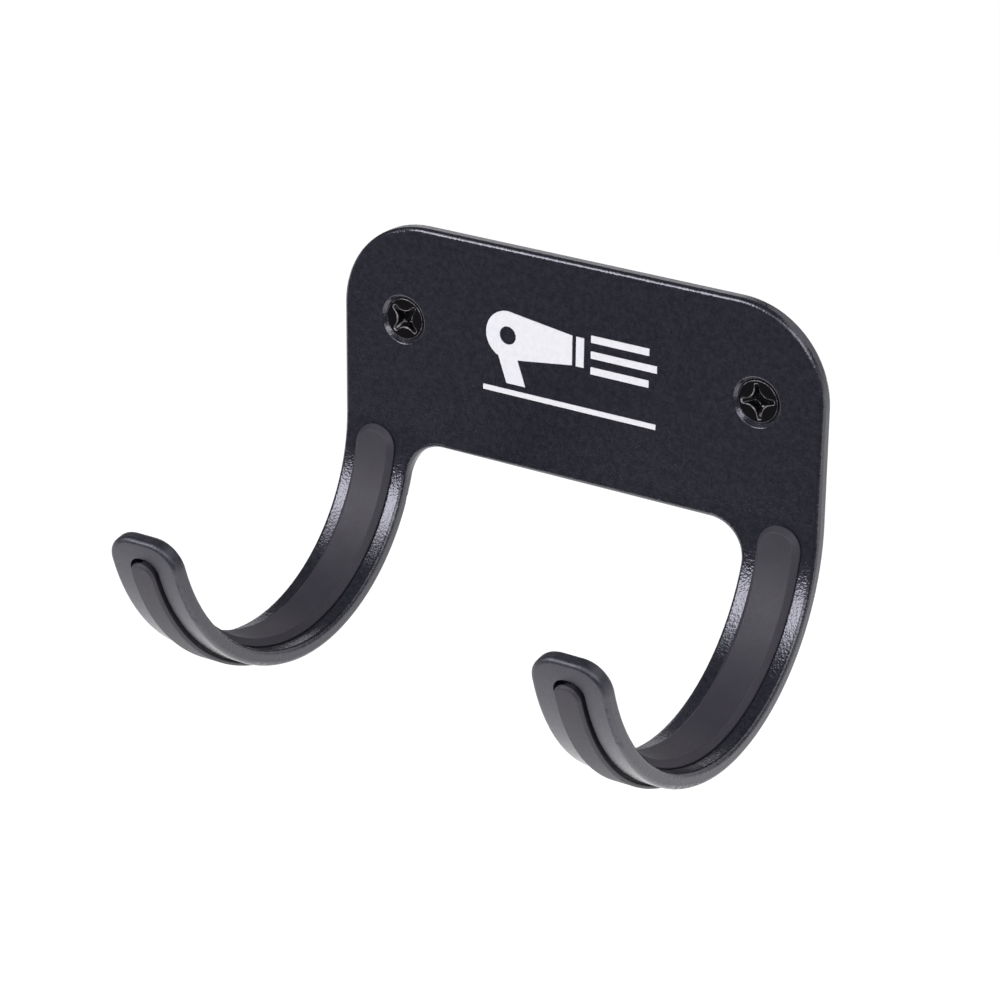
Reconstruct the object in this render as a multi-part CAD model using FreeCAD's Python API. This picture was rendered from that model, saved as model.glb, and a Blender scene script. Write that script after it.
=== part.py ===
"""Wall-mounted hair dryer holder: one bent steel bracket with two J hooks, a moulded silicone
liner in the slot of each hook, two countersunk wall screws and a printed mark.

Frame: millimetres, +Z up. The wall is the plane Y = 0 and the room is on the -Y side. The origin
is on the wall plane, midway between the two screw axes.
"""
import FreeCAD
import Part
import math
import os

# back plate and sheet
sheet = 3.2                 # thickness of the steel sheet
plate_width = 110.5         # overall width, over both hooks
plate_top = 20.2            # top edge, above the screw axes
corner_radius = 19.3        # top corners of the plate
web_bottom = -26.0          # lower edge of the plate between the hooks
web_radius = 8.0            # inner corners where the hooks leave the plate
edge_radius = 0.95          # rounding of every outline edge

# hooks, as two arcs that meet in a tangent
hook_width = 16.0
bend_start = -23.0          # height at which the sheet starts to curve away from the wall
cradle_radius = 34.3        # inside radius of the cradle
cradle_angle = 100.0
flare_radius = 44.3         # inside radius of the wider sweep up to the tip
flare_angle = 69.7
tip_corner = 5.8            # corner radius of the tip

# silicone liner and its slot, lengths measured along the inside face from the bend start
liner_width = 9.4           # strip on the inside face
liner_height = 1.5
liner_bevel = 1.15
liner_start = 1.0
liner_end = 111.1
rib_width = 5.6             # rounded head of the rib that stands out through the slot
rib_height = 1.2            # above the outside face
rib_bevel = 0.5
rib_start = 11.0
rib_end = 109.5
stem_inset = 0.8            # by which the stem is slimmer than the head, all round
stem_height = 0.45          # underside of the head, above the outside face
overlap = 0.4               # depth to which the stem runs into the strip and the head
end_flat = 0.3              # half of the flat left in the middle of a rounded end
slot_play = 0.5             # by which the slot is wider than the head, all round
seat_gap = 0.05             # play between the strip and the steel

# wall screws
hole_spacing = 81.5
hole_radius = 2.7
sink_radius = 5.2           # countersink radius at the front face, before its rim is rounded
sink_rim = 0.35
head_radius = 4.35
head_recess = 0.5           # depth of the screw head below the front face
head_chamfer = 0.1
head_land = 0.3             # short straight rim of the head
shank_radius = 1.9
shank_start = 0.1
thread_radius = 2.25
thread_start = 5.0
thread_pitch = 1.8
thread_count = 5
thread_foot = 0.5           # where a ridge starts to rise, as a share of the pitch
thread_crest = 0.8          # where it is highest
screw_end = 17.5
drive_span = 6.9            # across the cross recess at the face of the head
drive_floor = 2.2           # across the cross recess at its floor
drive_width = 1.3
drive_middle = 1.7          # radius of the recess between the arms, at the face
drive_depth = 2.3
left_drive_turn = 48.0
right_drive_turn = 8.0

# printed mark: a plain dryer pictogram, three air streams and a rule below
ink = 0.12
mark_x = -1.3               # middle of the mark
mark_width = 40.0
mark_z = 1.9                # axis of the pictogram's barrel
barrel_radius = 5.1
barrel_back = 0.6           # from the left end of the rule to the back of the barrel
barrel_length = 15.0
vent_radius = 1.9
outlet_half = 3.1
handle_top = -3.4           # height of the handle's upper end, below the barrel's axis
handle_foot = -8.2          # and its lower end, from the screw axes
handle_left = -2.6          # sides of its upper end, from the middle of the vent
handle_right = 1.8
handle_lean = 2.4           # sideways shift of the lower end
outlet_gap = 0.9            # between the barrel and the bar in front of it
outlet_bar = 1.8
stream_gap = 4.3            # from the barrel to the air streams
stream_width = 1.5
stream_step = 3.3
stream_stagger = 1.8        # by which the outer streams are shorter
rule_z = -10.6
rule_width = 1.1

# cutters and edge picking
cut_overlap = 1.0           # by which a cutter stands out of the sheet
cut_reach = 120.0           # size of a cutter that runs past the whole bracket
rounded_reach = 15.0        # depth of the part of the opening that has rounded corners
joint_reach = 10.0          # depth at which the straight part of the opening takes over
axis_match = 0.99           # direction cosine above which a face counts as square to an axis
size_match = 0.01           # tolerance on a radius

half_width = plate_width / 2
hook_centre = half_width - hook_width / 2
gap_half = half_width - hook_width
cradle_length = cradle_radius * math.radians(cradle_angle)
hook_length = cradle_length + flare_radius * math.radians(flare_angle)
slot_width = rib_width + 2 * slot_play


def hook_point(s, depth, x=0.0):
    """Point at length s along the inside face, at a depth into the sheet (negative is proud)."""
    cy = -sheet - cradle_radius
    cz = bend_start
    if s <= 0:
        return FreeCAD.Vector(x, depth - sheet, cz - s)
    if s <= cradle_length:
        turn = s / cradle_radius
        r = cradle_radius + depth
    else:
        bend = math.radians(cradle_angle)
        turn = bend + (s - cradle_length) / flare_radius
        r = flare_radius + depth
        cy += (cradle_radius - flare_radius) * math.cos(bend)
        cz -= (cradle_radius - flare_radius) * math.sin(bend)
    return FreeCAD.Vector(x, cy + r * math.cos(turn), cz - r * math.sin(turn))


def hook_line(start, end, depth, x):
    """Edges that follow the hook at one depth: a line on the plate, then arcs."""
    stops = [start] + [s for s in (0.0, cradle_length) if start < s < end] + [end]
    edges = []
    for s0, s1 in zip(stops, stops[1:]):
        p0 = hook_point(s0, depth, x)
        p1 = hook_point(s1, depth, x)
        if s1 <= 0:
            edges.append(Part.LineSegment(p0, p1).toShape())
        else:
            edges.append(Part.Arc(p0, hook_point((s0 + s1) / 2, depth, x), p1).toShape())
    return edges


def hook_strip(start, end, inner, outer, centre, width):
    """A bent strip with square ends that follows the hook between two depths."""
    x = centre - width / 2
    edges = hook_line(start, end, inner, x) + hook_line(start, end, outer, x)
    for s in (start, end):
        edges.append(Part.LineSegment(hook_point(s, inner, x), hook_point(s, outer, x)).toShape())
    wire = Part.Wire(Part.__sortEdges__(edges))
    return Part.Face(wire).extrude(FreeCAD.Vector(width, 0, 0))


def edges_near(shape, spots):
    """For each spot, the edge of the shape whose middle is nearest to it."""
    return [min(shape.Edges, key=lambda e: e.CenterOfMass.distanceToPoint(p)) for p in spots]


def round_strip(start, end, inner, outer, centre, width, radius):
    """A bent strip whose ends are rounded in the plane of the sheet."""
    strip = hook_strip(start, end, inner, outer, centre, width)
    spots = []
    for s in (start, end):
        for x in (centre - width / 2, centre + width / 2):
            spots.append(hook_point(s, (inner + outer) / 2, x))
    return strip.makeFillet(radius, edges_near(strip, spots))


def border_edges(faces):
    """Edges that belong to only one of the faces."""
    edges = [edge for face in faces for edge in face.Edges]
    return [e for e in edges if sum(1 for other in edges if other.isSame(e)) == 1]


def bevel_strip(strip, depth, size):
    """Bevel the border of the strip's exposed face, which lies at the given depth."""
    radii = (cradle_radius + depth, flare_radius + depth)
    exposed = []
    for face in strip.Faces:
        if isinstance(face.Surface, Part.Cylinder) and abs(face.Surface.Axis.x) > axis_match:
            if min(abs(face.Surface.Radius - r) for r in radii) < size_match:
                exposed.append(face)
    return strip.makeChamfer(size, border_edges(exposed))


def space_between_hooks():
    """Cutter for the opening below the plate, with its rounded inner corners."""
    width = 2 * gap_half
    foot = FreeCAD.Vector(-gap_half, -rounded_reach, web_bottom - cut_reach)
    box = Part.makeBox(width, rounded_reach + cut_overlap, cut_reach, foot)
    middle = (cut_overlap - rounded_reach) / 2
    corners = [FreeCAD.Vector(x, middle, web_bottom) for x in (-gap_half, gap_half)]
    box = box.makeFillet(web_radius, edges_near(box, corners))
    front_foot = FreeCAD.Vector(-gap_half, -joint_reach - cut_reach, -cut_reach)
    return box.fuse(Part.makeBox(width, cut_reach, cut_reach, front_foot))


def screw_hole(x):
    """Cutter for one countersunk hole."""
    depth = sink_radius - hole_radius
    out = FreeCAD.Vector(0, 1, 0)
    cone = Part.makeCone(sink_radius, hole_radius, depth, FreeCAD.Vector(x, -sheet, 0), out)
    bore = Part.makeCylinder(hole_radius, sheet, FreeCAD.Vector(x, depth - sheet, 0), out)
    return cone.fuse(bore)


def bent_blank():
    """The bent sheet with both hooks and rounded outline, before holes and slots."""
    blank = hook_strip(bend_start - plate_top, hook_length, 0.0, sheet, 0.0, plate_width)
    blank = blank.cut(space_between_hooks())
    top = [FreeCAD.Vector(x, -sheet / 2, plate_top) for x in (-half_width, half_width)]
    blank = blank.makeFillet(corner_radius, edges_near(blank, top))
    sides = (-half_width, -gap_half, gap_half, half_width)
    tips = [hook_point(hook_length, sheet / 2, x) for x in sides]
    blank = blank.makeFillet(tip_corner, edges_near(blank, tips))
    broad = []
    for face in blank.Faces:
        surface = face.Surface
        if isinstance(surface, Part.Cylinder) and abs(surface.Axis.x) > axis_match:
            broad.append(face)
        if isinstance(surface, Part.Plane) and abs(surface.Axis.y) > axis_match:
            broad.append(face)
    return blank.makeFillet(edge_radius, border_edges(broad))


def hook_bracket():
    """The bent sheet with its two countersunk holes and two slots."""
    body = bent_blank()
    for side in (-1, 1):
        body = body.cut(screw_hole(side * hole_spacing / 2))
        slot = round_strip(rib_start - slot_play, rib_end + slot_play, -cut_overlap,
                           sheet + cut_overlap, side * hook_centre, slot_width,
                           slot_width / 2 - end_flat)
        body = body.cut(slot)
    rims = []
    for edge in body.Edges:
        if isinstance(edge.Curve, Part.Circle):
            if abs(edge.Curve.Radius - sink_radius) < size_match:
                rims.append(edge)
    return body.makeFillet(sink_rim, rims)


def hook_liner(side):
    """Silicone moulding: strip inside the hook, stem through the slot and head outside."""
    centre = side * hook_centre
    strip = round_strip(liner_start, liner_end, -liner_height, -seat_gap, centre,
                        liner_width, liner_width / 2 - end_flat)
    strip = bevel_strip(strip, -liner_height, liner_bevel)
    head = round_strip(rib_start, rib_end, sheet + stem_height, sheet + rib_height, centre,
                       rib_width, rib_width / 2 - end_flat)
    head = bevel_strip(head, sheet + rib_height, rib_bevel)
    stem_width = rib_width - 2 * stem_inset
    stem = round_strip(rib_start + stem_inset, rib_end - stem_inset, -overlap,
                       sheet + stem_height + overlap, centre, stem_width,
                       stem_width / 2 - end_flat)
    return strip.fuse([stem, head])


def drive_recess(x, turn):
    """Cutter for the cross recess: two tapered blades and a central taper."""
    face = head_recess - sheet
    floor = face + drive_depth
    corners = [
        FreeCAD.Vector(-drive_span / 2, face, -drive_width / 2),
        FreeCAD.Vector(drive_span / 2, face, -drive_width / 2),
        FreeCAD.Vector(drive_floor / 2, floor, -drive_width / 2),
        FreeCAD.Vector(-drive_floor / 2, floor, -drive_width / 2),
    ]
    blade = Part.Face(Part.makePolygon(corners + corners[:1]))
    blade = blade.extrude(FreeCAD.Vector(0, 0, drive_width))
    middle = Part.makeCone(drive_middle, drive_floor / 2, drive_depth,
                           FreeCAD.Vector(0, face, 0), FreeCAD.Vector(0, 1, 0))
    cross = middle.fuse([blade, blade.rotated(FreeCAD.Vector(), FreeCAD.Vector(0, 1, 0), 90)])
    cross = cross.rotated(FreeCAD.Vector(), FreeCAD.Vector(0, 1, 0), -turn)
    return cross.translated(FreeCAD.Vector(x, 0, 0))


def wall_screw(x, turn):
    """Countersunk wood screw: head, plain shank, ridged thread and point."""
    face = head_recess - sheet
    rim = face + head_land
    outline = [
        (0.0, face),
        (head_radius - head_chamfer, face),
        (head_radius, face + head_chamfer),
        (head_radius, rim),
        (shank_radius, shank_start),
        (shank_radius, thread_start),
    ]
    for turn_number in range(thread_count):
        y = thread_start + turn_number * thread_pitch
        outline.append((shank_radius, y + thread_foot * thread_pitch))
        outline.append((thread_radius, y + thread_crest * thread_pitch))
        outline.append((shank_radius, y + thread_pitch))
    outline.append((0.0, screw_end))
    points = [FreeCAD.Vector(r, y, 0) for r, y in outline]
    section = Part.Face(Part.makePolygon(points + points[:1]))
    screw = section.revolve(FreeCAD.Vector(), FreeCAD.Vector(0, 1, 0), 360)
    return screw.translated(FreeCAD.Vector(x, 0, 0)).cut(drive_recess(x, turn))


def print_area(points):
    """A flat patch of ink on the front face of the plate, from corners given as (x, z)."""
    corners = [FreeCAD.Vector(x, -sheet, z) for x, z in points]
    return Part.Face(Part.makePolygon(corners + corners[:1])).extrude(FreeCAD.Vector(0, -ink, 0))


def print_bar(left, right, z, width):
    """A straight inked bar with square ends."""
    return print_area([(left, z), (right, z), (right, z + width), (left, z + width)])


def printed_mark():
    """The dryer pictogram with its air streams, and the rule below it."""
    left = mark_x - mark_width / 2
    right = mark_x + mark_width / 2
    back = left + barrel_back + barrel_radius
    mouth = back + barrel_length
    out = FreeCAD.Vector(0, -1, 0)
    barrel = Part.makeCylinder(barrel_radius, ink, FreeCAD.Vector(back, -sheet, mark_z), out)
    nozzle = print_area([
        (back, mark_z + barrel_radius),
        (mouth, mark_z + outlet_half),
        (mouth, mark_z - outlet_half),
        (back, mark_z - barrel_radius),
    ])
    handle = print_area([
        (back + handle_left, mark_z + handle_top),
        (back + handle_right, mark_z + handle_top),
        (back + handle_right + handle_lean, handle_foot),
        (back + handle_left + handle_lean, handle_foot),
    ])
    vent = Part.makeCylinder(vent_radius, ink, FreeCAD.Vector(back, -sheet, mark_z), out)
    pieces = [barrel.fuse([nozzle, handle]).cut(vent).removeSplitter()]
    bar = mouth + outlet_gap
    pieces.append(print_bar(bar, bar + outlet_bar, mark_z - outlet_half, 2 * outlet_half))
    for row in (-1, 0, 1):
        end = right - stream_stagger * abs(row)
        z = mark_z + stream_step * row - stream_width / 2
        pieces.append(print_bar(mouth + stream_gap, end, z, stream_width))
    pieces.append(print_bar(left, right, rule_z, rule_width))
    return Part.makeCompound(pieces)


def export(name, shape):
    """Write one node, after checking that its solids are sound."""
    for solid in shape.Solids:
        if not solid.isValid() or solid.Volume <= 0:
            raise ValueError(name + " has an unsound solid")
    shape.exportStep("parts/" + name + ".step")
    box = shape.BoundBox
    print(name, len(shape.Solids), "solid(s)", round(shape.Volume, 1), "mm3", box)


os.makedirs("parts", exist_ok=True)
export("hook_bracket", hook_bracket())
export("left_hook_liner", hook_liner(-1))
export("right_hook_liner", hook_liner(1))
export("left_wall_screw", wall_screw(-hole_spacing / 2, left_drive_turn))
export("right_wall_screw", wall_screw(hole_spacing / 2, right_drive_turn))
export("printed_mark", printed_mark())
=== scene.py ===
import math

import bpy
from mathutils import Matrix, Vector


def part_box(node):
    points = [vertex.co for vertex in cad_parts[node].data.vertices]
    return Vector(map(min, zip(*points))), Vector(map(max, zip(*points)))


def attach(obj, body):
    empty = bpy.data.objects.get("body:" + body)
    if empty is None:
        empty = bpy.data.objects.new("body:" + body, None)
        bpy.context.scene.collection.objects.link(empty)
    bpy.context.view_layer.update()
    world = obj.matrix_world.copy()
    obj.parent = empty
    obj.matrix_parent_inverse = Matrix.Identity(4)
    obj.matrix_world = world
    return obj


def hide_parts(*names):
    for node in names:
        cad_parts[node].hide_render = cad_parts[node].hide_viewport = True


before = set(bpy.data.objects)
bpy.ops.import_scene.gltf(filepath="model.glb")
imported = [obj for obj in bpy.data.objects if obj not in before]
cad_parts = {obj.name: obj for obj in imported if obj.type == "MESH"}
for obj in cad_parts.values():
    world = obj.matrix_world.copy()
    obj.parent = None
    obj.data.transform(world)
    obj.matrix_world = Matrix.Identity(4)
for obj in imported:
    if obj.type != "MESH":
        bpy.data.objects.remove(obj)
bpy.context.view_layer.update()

MM = 0.001
BODY = "root"

# camera
AIM = Vector((-4.70, -22.66, -24.12)) * MM      # the point at the middle of the picture
AZIMUTH = math.radians(32.56)
ELEVATION = math.radians(23.06)
ROLL = math.radians(0.53)
DISTANCE = 709.4 * MM
LENS = 130.60                                   # focal length for a 36 mm sensor

# soft boxes one metre from the holder: azimuth and elevation in degrees (0 is straight in
# front, negative is to the left), width and height in degrees, radiance
SOFT_BOXES = [
    ("key", -34, 26, 28, 25, 8.8),
    ("key_top", -42, 44, 26, 10, 3.0),
    ("front", 0, 31, 34, 40, 1.0),
    ("right_key", 33, 31, 34, 26, 4.2),
    ("right_front", 62, 35, 26, 36, 1.3),
    ("overhead", 104, 52, 56, 32, 1.2),
    ("right", 105, 5, 50, 30, 0.7),
    ("back_left", -147, 18, 36, 20, 1.1),
    ("back", 162, 22, 44, 46, 0.75),
]
LIGHT_TINT = (1.0, 0.99, 1.03)
WORLD_FILL = 0.10
BACKDROP = 1.2                                  # white that only the camera sees
FLOOR_DROP = 0.45                               # floor below the wall plate's origin
FLOOR_FRONT = -0.55                             # y of the floor's front edge
FLOOR_GLOW = (1.4, 0.95)                        # at the front, and from FLOOR_FADE back
FLOOR_FADE = 0.5
FLOOR_BACK = 9.0
FLOOR_HALF_WIDTH = 6.0

# the bent hooks, in millimetres
SHEET = 3.2
TIP_FADE = (-66.0, -80.0)                       # Y over which the coat is rubbed duller
PLATE_FADE = (-32.0, -18.0)                     # Z over which it gets smoother
BEND_START = -23.0
CRADLE_RADIUS = 34.3
CRADLE_ANGLE = math.radians(100.0)
FLARE_RADIUS = 44.3
CRADLE_LENGTH = CRADLE_RADIUS * CRADLE_ANGLE

# silicone liner, as (half width, first point, last point along the hook)
STRIP = (4.7, 1.0, 111.1)
STRIP_HEIGHT = 1.5
STRIP_BEVEL = 1.1
RIB = (2.8, 11.0, 109.5)
RIB_HEIGHT = 1.2
RIB_BEVEL = 0.45
STEM_INSET = 0.8                                # stem slimmer than the head, all round
STEM_HEIGHT = 0.45                              # underside of the head above the steel
EDGE_ROUND = 0.35                               # rounding of the bevels' own edges
SEAT_GAP = 0.05
FLAT_WEIGHT = 80                                # how strongly large faces set the shading
ROUND_STEPS = 12                                # points round a quarter of a strip's end
LENGTH_STEPS = 96                               # points along its straight sides

# wall screws
HEAD_RADIUS = 4.35
HEAD_FACE = -2.7                                # y of the head's face
HEAD_LAND = 0.3
RIM = 0.25                                      # rounding of the head's edge
SHANK_RADIUS = 1.9
SHANK_START = 0.1
PLAIN_END = 4.0                                 # end of the plain shank
THREAD_START = 4.2
THREAD_PITCH = 1.8
THREAD_HEIGHT = 0.7                             # from the core to the crest
THREAD_DEPTH = 0.35                             # from the plain shank down to the core
RIDGE_SHARE = 0.5                               # of the pitch, covered by the ridge's foot
THREAD_RINGS = 110
RISE_RINGS = 10                                 # over which the ridge grows to its full height
NECK_RINGS = 8                                  # over which the shank narrows to the core
RUN_OUT = 3.0                                   # over which the ridge fades before the point
POINT_RADIUS = 0.02
POINT_SLOPE = 0.55                              # radius gained per millimetre from the point
SCREW_END = 17.5
RECESS_REACH = 3.5                              # length of a recess arm at the face
RECESS_FLOOR = 1.2                              # and at the floor
ARM_HALF = 0.55                                 # half width of an arm at its end
ARM_POWER = 6                                   # how squarely an arm ends: 2 would be an ellipse
LOBE_RADIUS = 2.1                               # of the rounded land between two arms
FLOOR_HALF = 0.75                               # share of the arm's width left at the floor
FLOOR_LOBE = 0.55                               # and of the lobe's radius
RECESS_DEPTH = 2.3
RECESS_RINGS = (1.0, 0.75, 0.5, 0.25)           # shares of the depth, from the floor up
LIP = 0.3                                       # rounding of the recess's edge
LIP_WEAR_AND_GLINT = (0.4, 1.0, 1.0, 1.0, 0.8, 0.0)       # over the lip: black rubbed off by the driver, and a painted highlight along the edge
RIM_GLINT = (0.0, 0.5, 0.7, 0.6, 0.2, 0.0)       # over the head's edge: a painted highlight only
SPOKES = 192                                    # points round the head
LEFT_TURN = math.radians(48.0)                  # to which each screw was driven
RIGHT_TURN = math.radians(8.0)
WEAR_AND_GLINT = "wear_and_glint"                                   # attribute: 1 where the screw is painted pale, for rubbed-off black on the lip and painted highlights on the lip and the head's edge


def make_camera():
    """The view from above and to the right of the holder."""
    data = bpy.data.cameras.new("camera")
    data.sensor_width = 36.0
    data.lens = LENS
    data.clip_start = 0.01
    data.clip_end = 50.0
    camera = bpy.data.objects.new("camera", data)
    bpy.context.scene.collection.objects.link(camera)
    back = Vector((
        math.sin(AZIMUTH) * math.cos(ELEVATION),
        -math.cos(AZIMUTH) * math.cos(ELEVATION),
        math.sin(ELEVATION),
    ))
    turned = (-back).to_track_quat("-Z", "Y").to_matrix() @ Matrix.Rotation(ROLL, 3, "Z")
    camera.location = AIM + back * DISTANCE
    camera.rotation_euler = turned.to_euler()
    bpy.context.scene.camera = camera


# ---------------------------------------------------------------- materials

class Nodes:
    """A short way to build one node tree."""

    def __init__(self, name):
        self.material = bpy.data.materials.new(name)
        self.material.use_nodes = True
        self.tree = self.material.node_tree
        self.tree.nodes.clear()
        self.shader = self.add("ShaderNodeBsdfPrincipled")
        output = self.add("ShaderNodeOutputMaterial")
        self.link(self.shader, "BSDF", output, "Surface")
        self.place = self.add("ShaderNodeTexCoord")

    def add(self, kind, **values):
        node = self.tree.nodes.new(kind)
        for key, value in values.items():
            setattr(node, key, value)
        return node

    def link(self, source, out_name, target, in_name):
        self.tree.links.new(source.outputs[out_name], target.inputs[in_name])

    def noise(self, scale, detail=2.0, rough=0.5):
        """Noise over the object's own space, which is in metres."""
        node = self.add("ShaderNodeTexNoise")
        node.inputs["Scale"].default_value = scale
        node.inputs["Detail"].default_value = detail
        node.inputs["Roughness"].default_value = rough
        self.link(self.place, "Object", node, "Vector")
        return node

    def along(self, axis, span, values):
        """A value that changes evenly over a span of the object's own X, Y or Z."""
        place = self.add("ShaderNodeSeparateXYZ")
        self.link(self.place, "Object", place, "Vector")
        node = self.add("ShaderNodeMapRange")
        node.inputs["From Min"].default_value = span[0]
        node.inputs["From Max"].default_value = span[1]
        node.inputs["To Min"].default_value = values[0]
        node.inputs["To Max"].default_value = values[1]
        self.link(place, axis, node, "Value")
        return node

    def ramp(self, source, out_name, stops):
        """A colour ramp from (position, grey or colour) stops."""
        node = self.add("ShaderNodeValToRGB")
        ramp = node.color_ramp
        for index, (position, colour) in enumerate(stops):
            if isinstance(colour, float):
                colour = (colour, colour, colour)
            stop = ramp.elements[index] if index < 2 else ramp.elements.new(position)
            stop.position = position
            stop.color = (*colour, 1.0)
        self.link(source, out_name, node, "Fac")
        return node

    def bump(self, source, out_name, strength, depth):
        """Bump by a strength that is either one value or a Math node."""
        node = self.add("ShaderNodeBump")
        if isinstance(strength, float):
            node.inputs["Strength"].default_value = strength
        else:
            self.link(strength, "Value", node, "Strength")
        node.inputs["Distance"].default_value = depth
        self.link(source, out_name, node, "Height")
        return node


def powder_coat():
    """Black satin powder coat: grainy on the hooks, smoother on the plate, dull at the tips."""
    n = Nodes("powder_coat_black")
    patches = n.noise(1100.0, 2.0, 0.6)
    tint = n.ramp(patches, "Fac", [(0.35, (0.0105, 0.0105, 0.0155)), (0.70, (0.020, 0.020, 0.028))])
    n.link(tint, "Color", n.shader, "Base Color")
    grain = n.noise(2200.0, 1.0, 0.5)
    tips = [y * MM for y in TIP_FADE]
    plate = [z * MM for z in PLATE_FADE]
    gloss = n.ramp(grain, "Fac", [(0.3, 0.16), (0.7, 0.22)])
    rough = n.add("ShaderNodeMath", operation="ADD")
    n.link(gloss, "Color", rough, 0)
    n.link(n.along("Y", tips, (0.0, 0.25)), "Result", rough, 1)
    n.link(rough, "Value", n.shader, "Roughness")
    strength = n.add("ShaderNodeMath", operation="MULTIPLY")
    n.link(n.along("Y", tips, (1.0, 0.4)), "Result", strength, 0)
    n.link(n.along("Z", plate, (0.62, 0.42)), "Result", strength, 1)
    n.link(n.bump(grain, "Fac", strength, 0.12 * MM), "Normal", n.shader, "Normal")
    n.shader.inputs["Specular Tint"].default_value = (0.90, 0.90, 1.0, 1.0)
    n.shader.inputs["Specular IOR Level"].default_value = 0.8
    return n.material


def silicone():
    """Satin grey-black silicone with a faint moulded skin."""
    n = Nodes("silicone_grey")
    patches = n.noise(180.0, 3.0)
    tint = n.ramp(patches, "Fac", [(0.3, (0.025, 0.022, 0.031)), (0.7, (0.030, 0.027, 0.037))])
    n.link(tint, "Color", n.shader, "Base Color")
    skin = n.noise(3000.0, 2.0)
    rough = n.ramp(skin, "Fac", [(0.3, 0.54), (0.7, 0.66)])
    n.link(rough, "Color", n.shader, "Roughness")
    n.link(n.bump(skin, "Fac", 0.15, 0.02 * MM), "Normal", n.shader, "Normal")
    return n.material


def black_screw():
    """Glossy black-coated steel, painted paler on the edges the attribute marks: rubbed-off black on
    the recess lip, and painted highlights on the lip and the head's edge.
    """
    n = Nodes("screw_gloss_black")
    patches = n.noise(1200.0, 2.0)
    wear_and_glint = n.add("ShaderNodeAttribute", attribute_name=WEAR_AND_GLINT)
    wear_and_glint_mask = n.add("ShaderNodeMath", operation="MULTIPLY")
    n.link(wear_and_glint, "Fac", wear_and_glint_mask, 0)
    n.link(patches, "Fac", wear_and_glint_mask, 1)
    # the pale grey stop paints highlights on the recess lip and head edge, and rubbed-off black on the
    # lip
    stops = [(0.0, (0.003, 0.0025, 0.0035)), (0.22, (0.006, 0.005, 0.007)), (0.60, (0.30, 0.28, 0.30))]
    tint = n.ramp(wear_and_glint_mask, "Value", stops)
    n.link(tint, "Color", n.shader, "Base Color")
    rough = n.ramp(wear_and_glint_mask, "Value", [(0.0, 0.12), (0.6, 0.32)])
    n.link(rough, "Color", n.shader, "Roughness")
    n.link(n.bump(patches, "Fac", 0.2, 0.02 * MM), "Normal", n.shader, "Normal")
    return n.material


def white_ink():
    """Matt white print with slightly uneven cover."""
    n = Nodes("ink_white")
    patches = n.noise(900.0, 3.0)
    tint = n.ramp(patches, "Fac", [(0.25, (0.66, 0.66, 0.68)), (0.6, (0.72, 0.72, 0.74))])
    n.link(tint, "Color", n.shader, "Base Color")
    rough = n.ramp(patches, "Fac", [(0.3, 0.5), (0.7, 0.65)])
    n.link(rough, "Color", n.shader, "Roughness")
    n.link(n.bump(patches, "Fac", 0.2, 0.02 * MM), "Normal", n.shader, "Normal")
    return n.material


def floor_paint():
    """Plain pale floor, lit from below like a light table and brightest at the front."""
    n = Nodes("floor_pale")
    n.shader.inputs["Base Color"].default_value = (0.3, 0.3, 0.3, 1.0)
    n.shader.inputs["Roughness"].default_value = 0.9
    n.shader.inputs["Specular IOR Level"].default_value = 0.0
    n.shader.inputs["Emission Color"].default_value = (1.0, 1.0, 1.0, 1.0)
    n.link(n.along("Y", (0.0, FLOOR_FADE), FLOOR_GLOW), "Result", n.shader, "Emission Strength")
    return n.material


# ---------------------------------------------------------------- stage and light

def make_floor():
    """A wide pale floor well below the holder, which ends a little in front of it."""
    half = FLOOR_HALF_WIDTH
    corners = [(-half, FLOOR_FRONT), (half, FLOOR_FRONT), (half, FLOOR_BACK), (-half, FLOOR_BACK)]
    mesh = bpy.data.meshes.new("floor")
    mesh.from_pydata([(x, y, -FLOOR_DROP) for x, y in corners], [], [(0, 1, 2, 3)])
    floor = bpy.data.objects.new("floor", mesh)
    bpy.context.scene.collection.objects.link(floor)
    floor.data.materials.append(floor_paint())


def soft_box(name, azimuth, elevation, wide, tall, radiance):
    """A rectangular soft light one metre from the holder, facing it; sizes are angles."""
    azimuth = math.radians(azimuth)
    elevation = math.radians(elevation)
    away = Vector((
        math.sin(azimuth) * math.cos(elevation),
        -math.cos(azimuth) * math.cos(elevation),
        math.sin(elevation),
    ))
    data = bpy.data.lights.new(name, "AREA")
    data.shape = "RECTANGLE"
    data.size = 2 * math.tan(math.radians(wide / 2))
    data.size_y = 2 * math.tan(math.radians(tall / 2))
    data.energy = radiance * math.pi * data.size * data.size_y
    data.color = LIGHT_TINT
    light = bpy.data.objects.new(name, data)
    bpy.context.scene.collection.objects.link(light)
    light.location = AIM + away
    light.rotation_euler = away.to_track_quat("Z", "Y").to_euler()


def make_world():
    """Dim even fill; the camera sees plain white behind the holder."""
    world = bpy.data.worlds.new("studio")
    bpy.context.scene.world = world
    world.use_nodes = True
    tree = world.node_tree
    fill = tree.nodes["Background"]
    fill.inputs["Color"].default_value = (1.0, 1.0, 1.0, 1.0)
    fill.inputs["Strength"].default_value = WORLD_FILL
    white = tree.nodes.new("ShaderNodeBackground")
    white.inputs["Color"].default_value = (1.0, 1.0, 1.0, 1.0)
    white.inputs["Strength"].default_value = BACKDROP
    rays = tree.nodes.new("ShaderNodeLightPath")
    mix = tree.nodes.new("ShaderNodeMixShader")
    tree.links.new(rays.outputs["Is Camera Ray"], mix.inputs["Fac"])
    tree.links.new(fill.outputs["Background"], mix.inputs[1])
    tree.links.new(white.outputs["Background"], mix.inputs[2])
    tree.links.new(mix.outputs["Shader"], tree.nodes["World Output"].inputs["Surface"])


def make_lights():
    make_world()
    for light in SOFT_BOXES:
        soft_box(*light)


# ---------------------------------------------------------------- shapes

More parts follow.
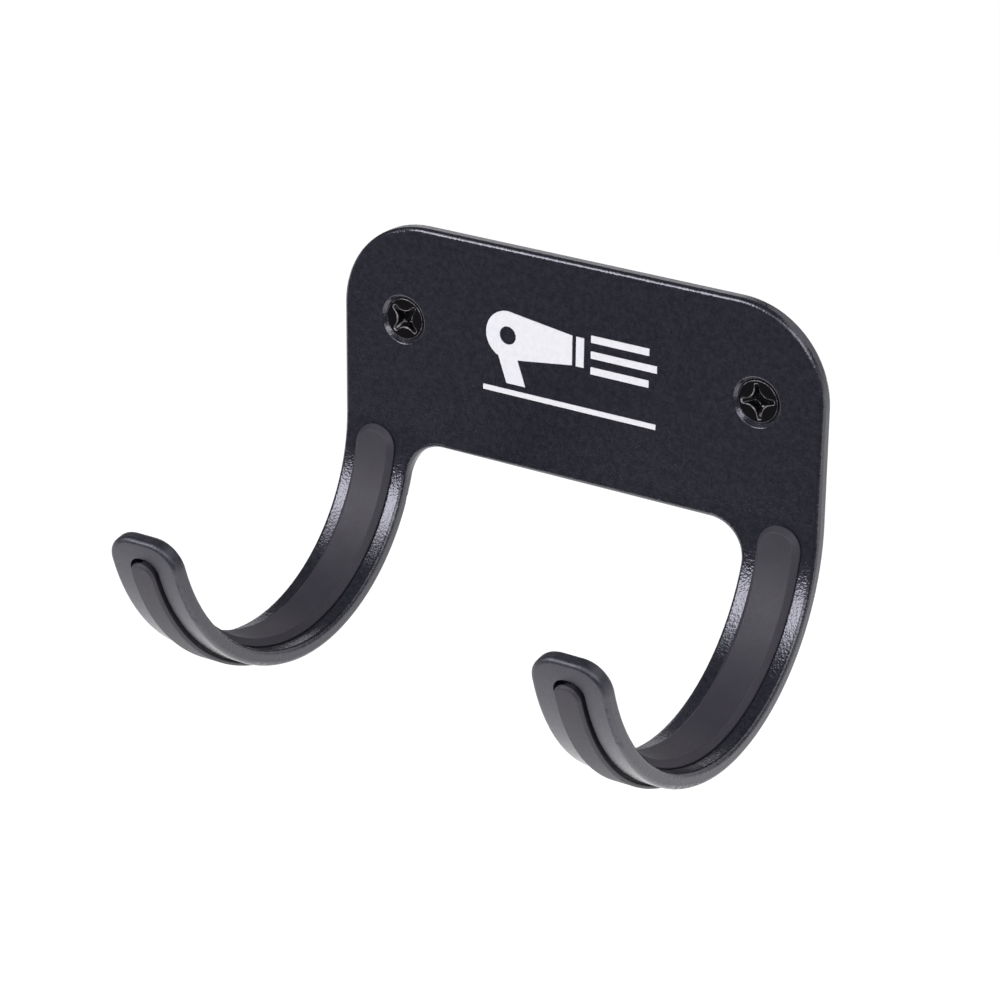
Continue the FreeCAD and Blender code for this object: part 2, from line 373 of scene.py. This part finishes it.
def mesh_piece(name, points, faces, material, node):
    """A smooth mesh piece that rides on the body and stands for a CAD node."""
    mesh = bpy.data.meshes.new(name)
    mesh.from_pydata([p * MM for p in points], [], faces)
    mesh.polygons.foreach_set("use_smooth", [True] * len(mesh.polygons))
    mesh.materials.append(material)
    piece = bpy.data.objects.new(name, mesh)
    bpy.context.scene.collection.objects.link(piece)
    weigh = piece.modifiers.new("flat_faces", "WEIGHTED_NORMAL")
    weigh.weight = FLAT_WEIGHT
    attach(piece, BODY)
    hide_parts(node)
    return piece


def join_rings(count, rings):
    """Quads between neighbouring rings of count points, numbered ring by ring."""
    faces = []
    for ring in range(rings - 1):
        first = ring * count
        for i in range(count):
            j = (i + 1) % count
            faces.append((first + i, first + j, first + count + j, first + count + i))
    return faces


def hook_point(x, s, depth):
    """Point at length s along the hook's inside face, at a depth into the sheet."""
    cy = -SHEET - CRADLE_RADIUS
    cz = BEND_START
    if s <= 0:
        return Vector((x, depth - SHEET, cz - s))
    if s <= CRADLE_LENGTH:
        turn = s / CRADLE_RADIUS
        r = CRADLE_RADIUS + depth
    else:
        turn = CRADLE_ANGLE + (s - CRADLE_LENGTH) / FLARE_RADIUS
        r = FLARE_RADIUS + depth
        cy += (CRADLE_RADIUS - FLARE_RADIUS) * math.cos(CRADLE_ANGLE)
        cz -= (CRADLE_RADIUS - FLARE_RADIUS) * math.sin(CRADLE_ANGLE)
    return Vector((x, cy + r * math.cos(turn), cz - r * math.sin(turn)))


def strip_ring(outline, inset, depth):
    """Round-ended strip outline as (x, s, depth): one side from start to end, then back."""
    half, start, end = outline
    half -= inset
    start += inset
    end -= inset
    side = []
    for i in range(ROUND_STEPS):
        turn = math.pi / 2 * (i + 0.5) / ROUND_STEPS
        side.append((half * math.sin(turn), start + half * (1 - math.cos(turn))))
    for i in range(LENGTH_STEPS + 1):
        along = i / LENGTH_STEPS
        side.append((half, start + half + (end - start - 2 * half) * along))
    for x, s in reversed(side[:ROUND_STEPS]):
        side.append((x, end - (s - start)))
    ring = [(x, s, depth) for x, s in side]
    ring += [(-x, s, depth) for x, s in reversed(side)]
    return ring


def between(first, second, steps):
    """Rings in between two rings."""
    rings = []
    for k in range(1, steps):
        t = k / steps
        rings.append([tuple(a + (b - a) * t for a, b in zip(p, q)) for p, q in zip(first, second)])
    return rings


def bevelled(size, height, radius, steps=4):
    """(inset, height) over a 45 degree bevel whose two edges are rounded."""
    slope = math.pi / 4
    reach = radius * math.tan(slope / 2)
    points = []
    for k in range(steps + 1):
        turn = slope * k / steps
        points.append((radius * (1 - math.cos(turn)), height - size - reach + radius * math.sin(turn)))
    for k in range(steps + 1):
        turn = slope * (1 - k / steps)
        points.append((size + reach - radius * math.sin(turn), height - radius * (1 - math.cos(turn))))
    return points


def hook_liner(side, material):
    """Moulding: strip inside the hook, stem through the slot and head outside."""
    name = ("left" if side < 0 else "right") + "_hook_liner"
    low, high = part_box(name)
    centre = (low.x + high.x) / 2 / MM
    rings = []
    for inset, height in reversed(bevelled(STRIP_BEVEL, STRIP_HEIGHT, EDGE_ROUND)):
        rings.append(strip_ring(STRIP, inset, -height))
    base = strip_ring(STRIP, 0.0, -SEAT_GAP)
    root = strip_ring(RIB, STEM_INSET, -SEAT_GAP)
    stem = strip_ring(RIB, STEM_INSET, SHEET + STEM_HEIGHT)
    under = strip_ring(RIB, 0.0, SHEET + STEM_HEIGHT)
    rings += [base] + between(base, root, 4) + [root, stem]
    rings += between(stem, under, 3) + [under]
    for inset, height in bevelled(RIB_BEVEL, RIB_HEIGHT, EDGE_ROUND):
        rings.append(strip_ring(RIB, inset, SHEET + height))
    count = len(rings[0])
    points = []
    for ring in rings:
        for x, s, depth in ring:
            points.append(hook_point(x + centre, s, depth))
    faces = join_rings(count, len(rings))
    last = (len(rings) - 1) * count
    for i in range(count // 2 - 1):
        j = count - 1 - i
        faces.append((i + 1, i, j, j - 1))
        faces.append((last + i, last + i + 1, last + j - 1, last + j))
    mesh_piece(name + "_soft", points, faces, material, name)


def cross_radius(turn, reach, half, lobe):
    """Radius of a cross at an angle: slim round-ended arms that flare into its middle."""
    turn = (turn + math.pi / 4) % (math.pi / 2) - math.pi / 4
    x = math.cos(turn)
    y = abs(math.sin(turn))
    arm = 1.0 / ((x / reach) ** ARM_POWER + (y / half) ** ARM_POWER) ** (1 / ARM_POWER)
    centre = half + lobe
    along = centre * (x + y)
    inside = along ** 2 - 2 * centre ** 2 + lobe ** 2
    if inside <= 0:
        return arm
    flare = along - math.sqrt(inside)
    return max(arm, flare) if flare * x <= centre else arm


def lathe(count, profile):
    """Rings about the Y axis, and their pale share (rubbed-off black and painted highlight), for a
    profile of (radius, y, pale share).
    """
    points = []
    wear_and_glint_values = []
    for radius, y, wear_and_glint_share in profile:
        for i in range(count):
            turn = 2 * math.pi * i / count
            r = radius(turn) if callable(radius) else radius
            points.append(Vector((r * math.cos(turn), y, r * math.sin(turn))))
            # the pale share: rubbed-off black and painted highlight
            wear_and_glint_values.append(wear_and_glint_share)
    return points, wear_and_glint_values


def thread_profile():
    """Rings of a helical ridge on a core that runs out to a point."""
    rings = []
    for k in range(THREAD_RINGS + 1):
        y = THREAD_START + (SCREW_END - THREAD_START) * k / THREAD_RINGS
        left = SCREW_END - y
        core = min(SHANK_RADIUS - THREAD_DEPTH, POINT_RADIUS + left * POINT_SLOPE)
        if k < NECK_RINGS:
            core += (SHANK_RADIUS - core) * (1 - k / NECK_RINGS)
        rise = THREAD_HEIGHT * min(1.0, k / RISE_RINGS) * min(1.0, left / RUN_OUT)

        def radius(a, y=y, core=core, rise=rise):
            phase = (y / THREAD_PITCH - a / (2 * math.pi)) % 1.0
            return core + rise * max(0.0, 1 - abs(phase - 0.5) * 2 / RIDGE_SHARE)
        rings.append((radius, y, 0.0))
    return rings


def wall_screw(side, turn, material):
    """Countersunk screw with a cross recess and a helical thread."""
    name = side + "_wall_screw"
    low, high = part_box(name)
    axis = (low.x + high.x) / 2 / MM

    def cross(share, grow=0.0):
        reach = RECESS_REACH + (RECESS_FLOOR - RECESS_REACH) * share
        half = ARM_HALF * (1 - (1 - FLOOR_HALF) * share)
        lobe = LOBE_RADIUS * (1 - (1 - FLOOR_LOBE) * share)
        return lambda a: cross_radius(a - turn, reach, half, lobe) + grow

    profile = []
    for share in RECESS_RINGS:
        profile.append((cross(share), HEAD_FACE + RECESS_DEPTH * share, 0.0))
    # the recess lip: rubbed-off black and a painted highlight
    for k, wear_and_glint_share in enumerate(LIP_WEAR_AND_GLINT):
        bend = math.pi / 2 * k / (len(LIP_WEAR_AND_GLINT) - 1)
        y = HEAD_FACE + LIP * (1 - math.sin(bend))
        profile.append((cross(0.0, LIP * (1 - math.cos(bend))), y, wear_and_glint_share))
    # the head's edge: a painted highlight
    for k, wear_and_glint_share in enumerate(RIM_GLINT):
        bend = math.pi / 2 * k / (len(RIM_GLINT) - 1)
        y = HEAD_FACE + RIM * (1 - math.cos(bend))
        profile.append((HEAD_RADIUS - RIM * (1 - math.sin(bend)), y, wear_and_glint_share))
    profile.append((HEAD_RADIUS, HEAD_FACE + HEAD_LAND, 0.0))
    profile.append((SHANK_RADIUS, SHANK_START, 0.0))
    profile.append((SHANK_RADIUS, PLAIN_END, 0.0))
    profile += thread_profile()
    points, wear_and_glint_values = lathe(SPOKES, profile)
    faces = [face[::-1] for face in join_rings(SPOKES, len(profile))]
    last = (len(profile) - 1) * SPOKES
    faces.append(tuple(range(SPOKES)))
    faces.append(tuple(reversed(range(last, last + SPOKES))))
    points = [p + Vector((axis, 0.0, 0.0)) for p in points]
    piece = mesh_piece(name + "_turned", points, faces, material, name)
    # store the pale share, rubbed-off black and painted highlight, as a point attribute
    wear_and_glint = piece.data.attributes.new(WEAR_AND_GLINT, "FLOAT", "POINT")
    wear_and_glint.data.foreach_set("value", wear_and_glint_values)


# ---------------------------------------------------------------- pieces

def dress(node, material):
    """Give a CAD node its finish."""
    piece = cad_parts[node]
    piece.data.materials.clear()
    piece.data.materials.append(material)


def make_pieces():
    dress("hook_bracket", powder_coat())
    dress("printed_mark", white_ink())
    rubber = silicone()
    hook_liner(-1, rubber)
    hook_liner(1, rubber)
    gloss = black_screw()
    wall_screw("left", LEFT_TURN, gloss)
    wall_screw("right", RIGHT_TURN, gloss)


make_camera()
make_floor()
make_lights()
make_pieces()
bpy.context.scene.view_settings.view_transform = "Standard"
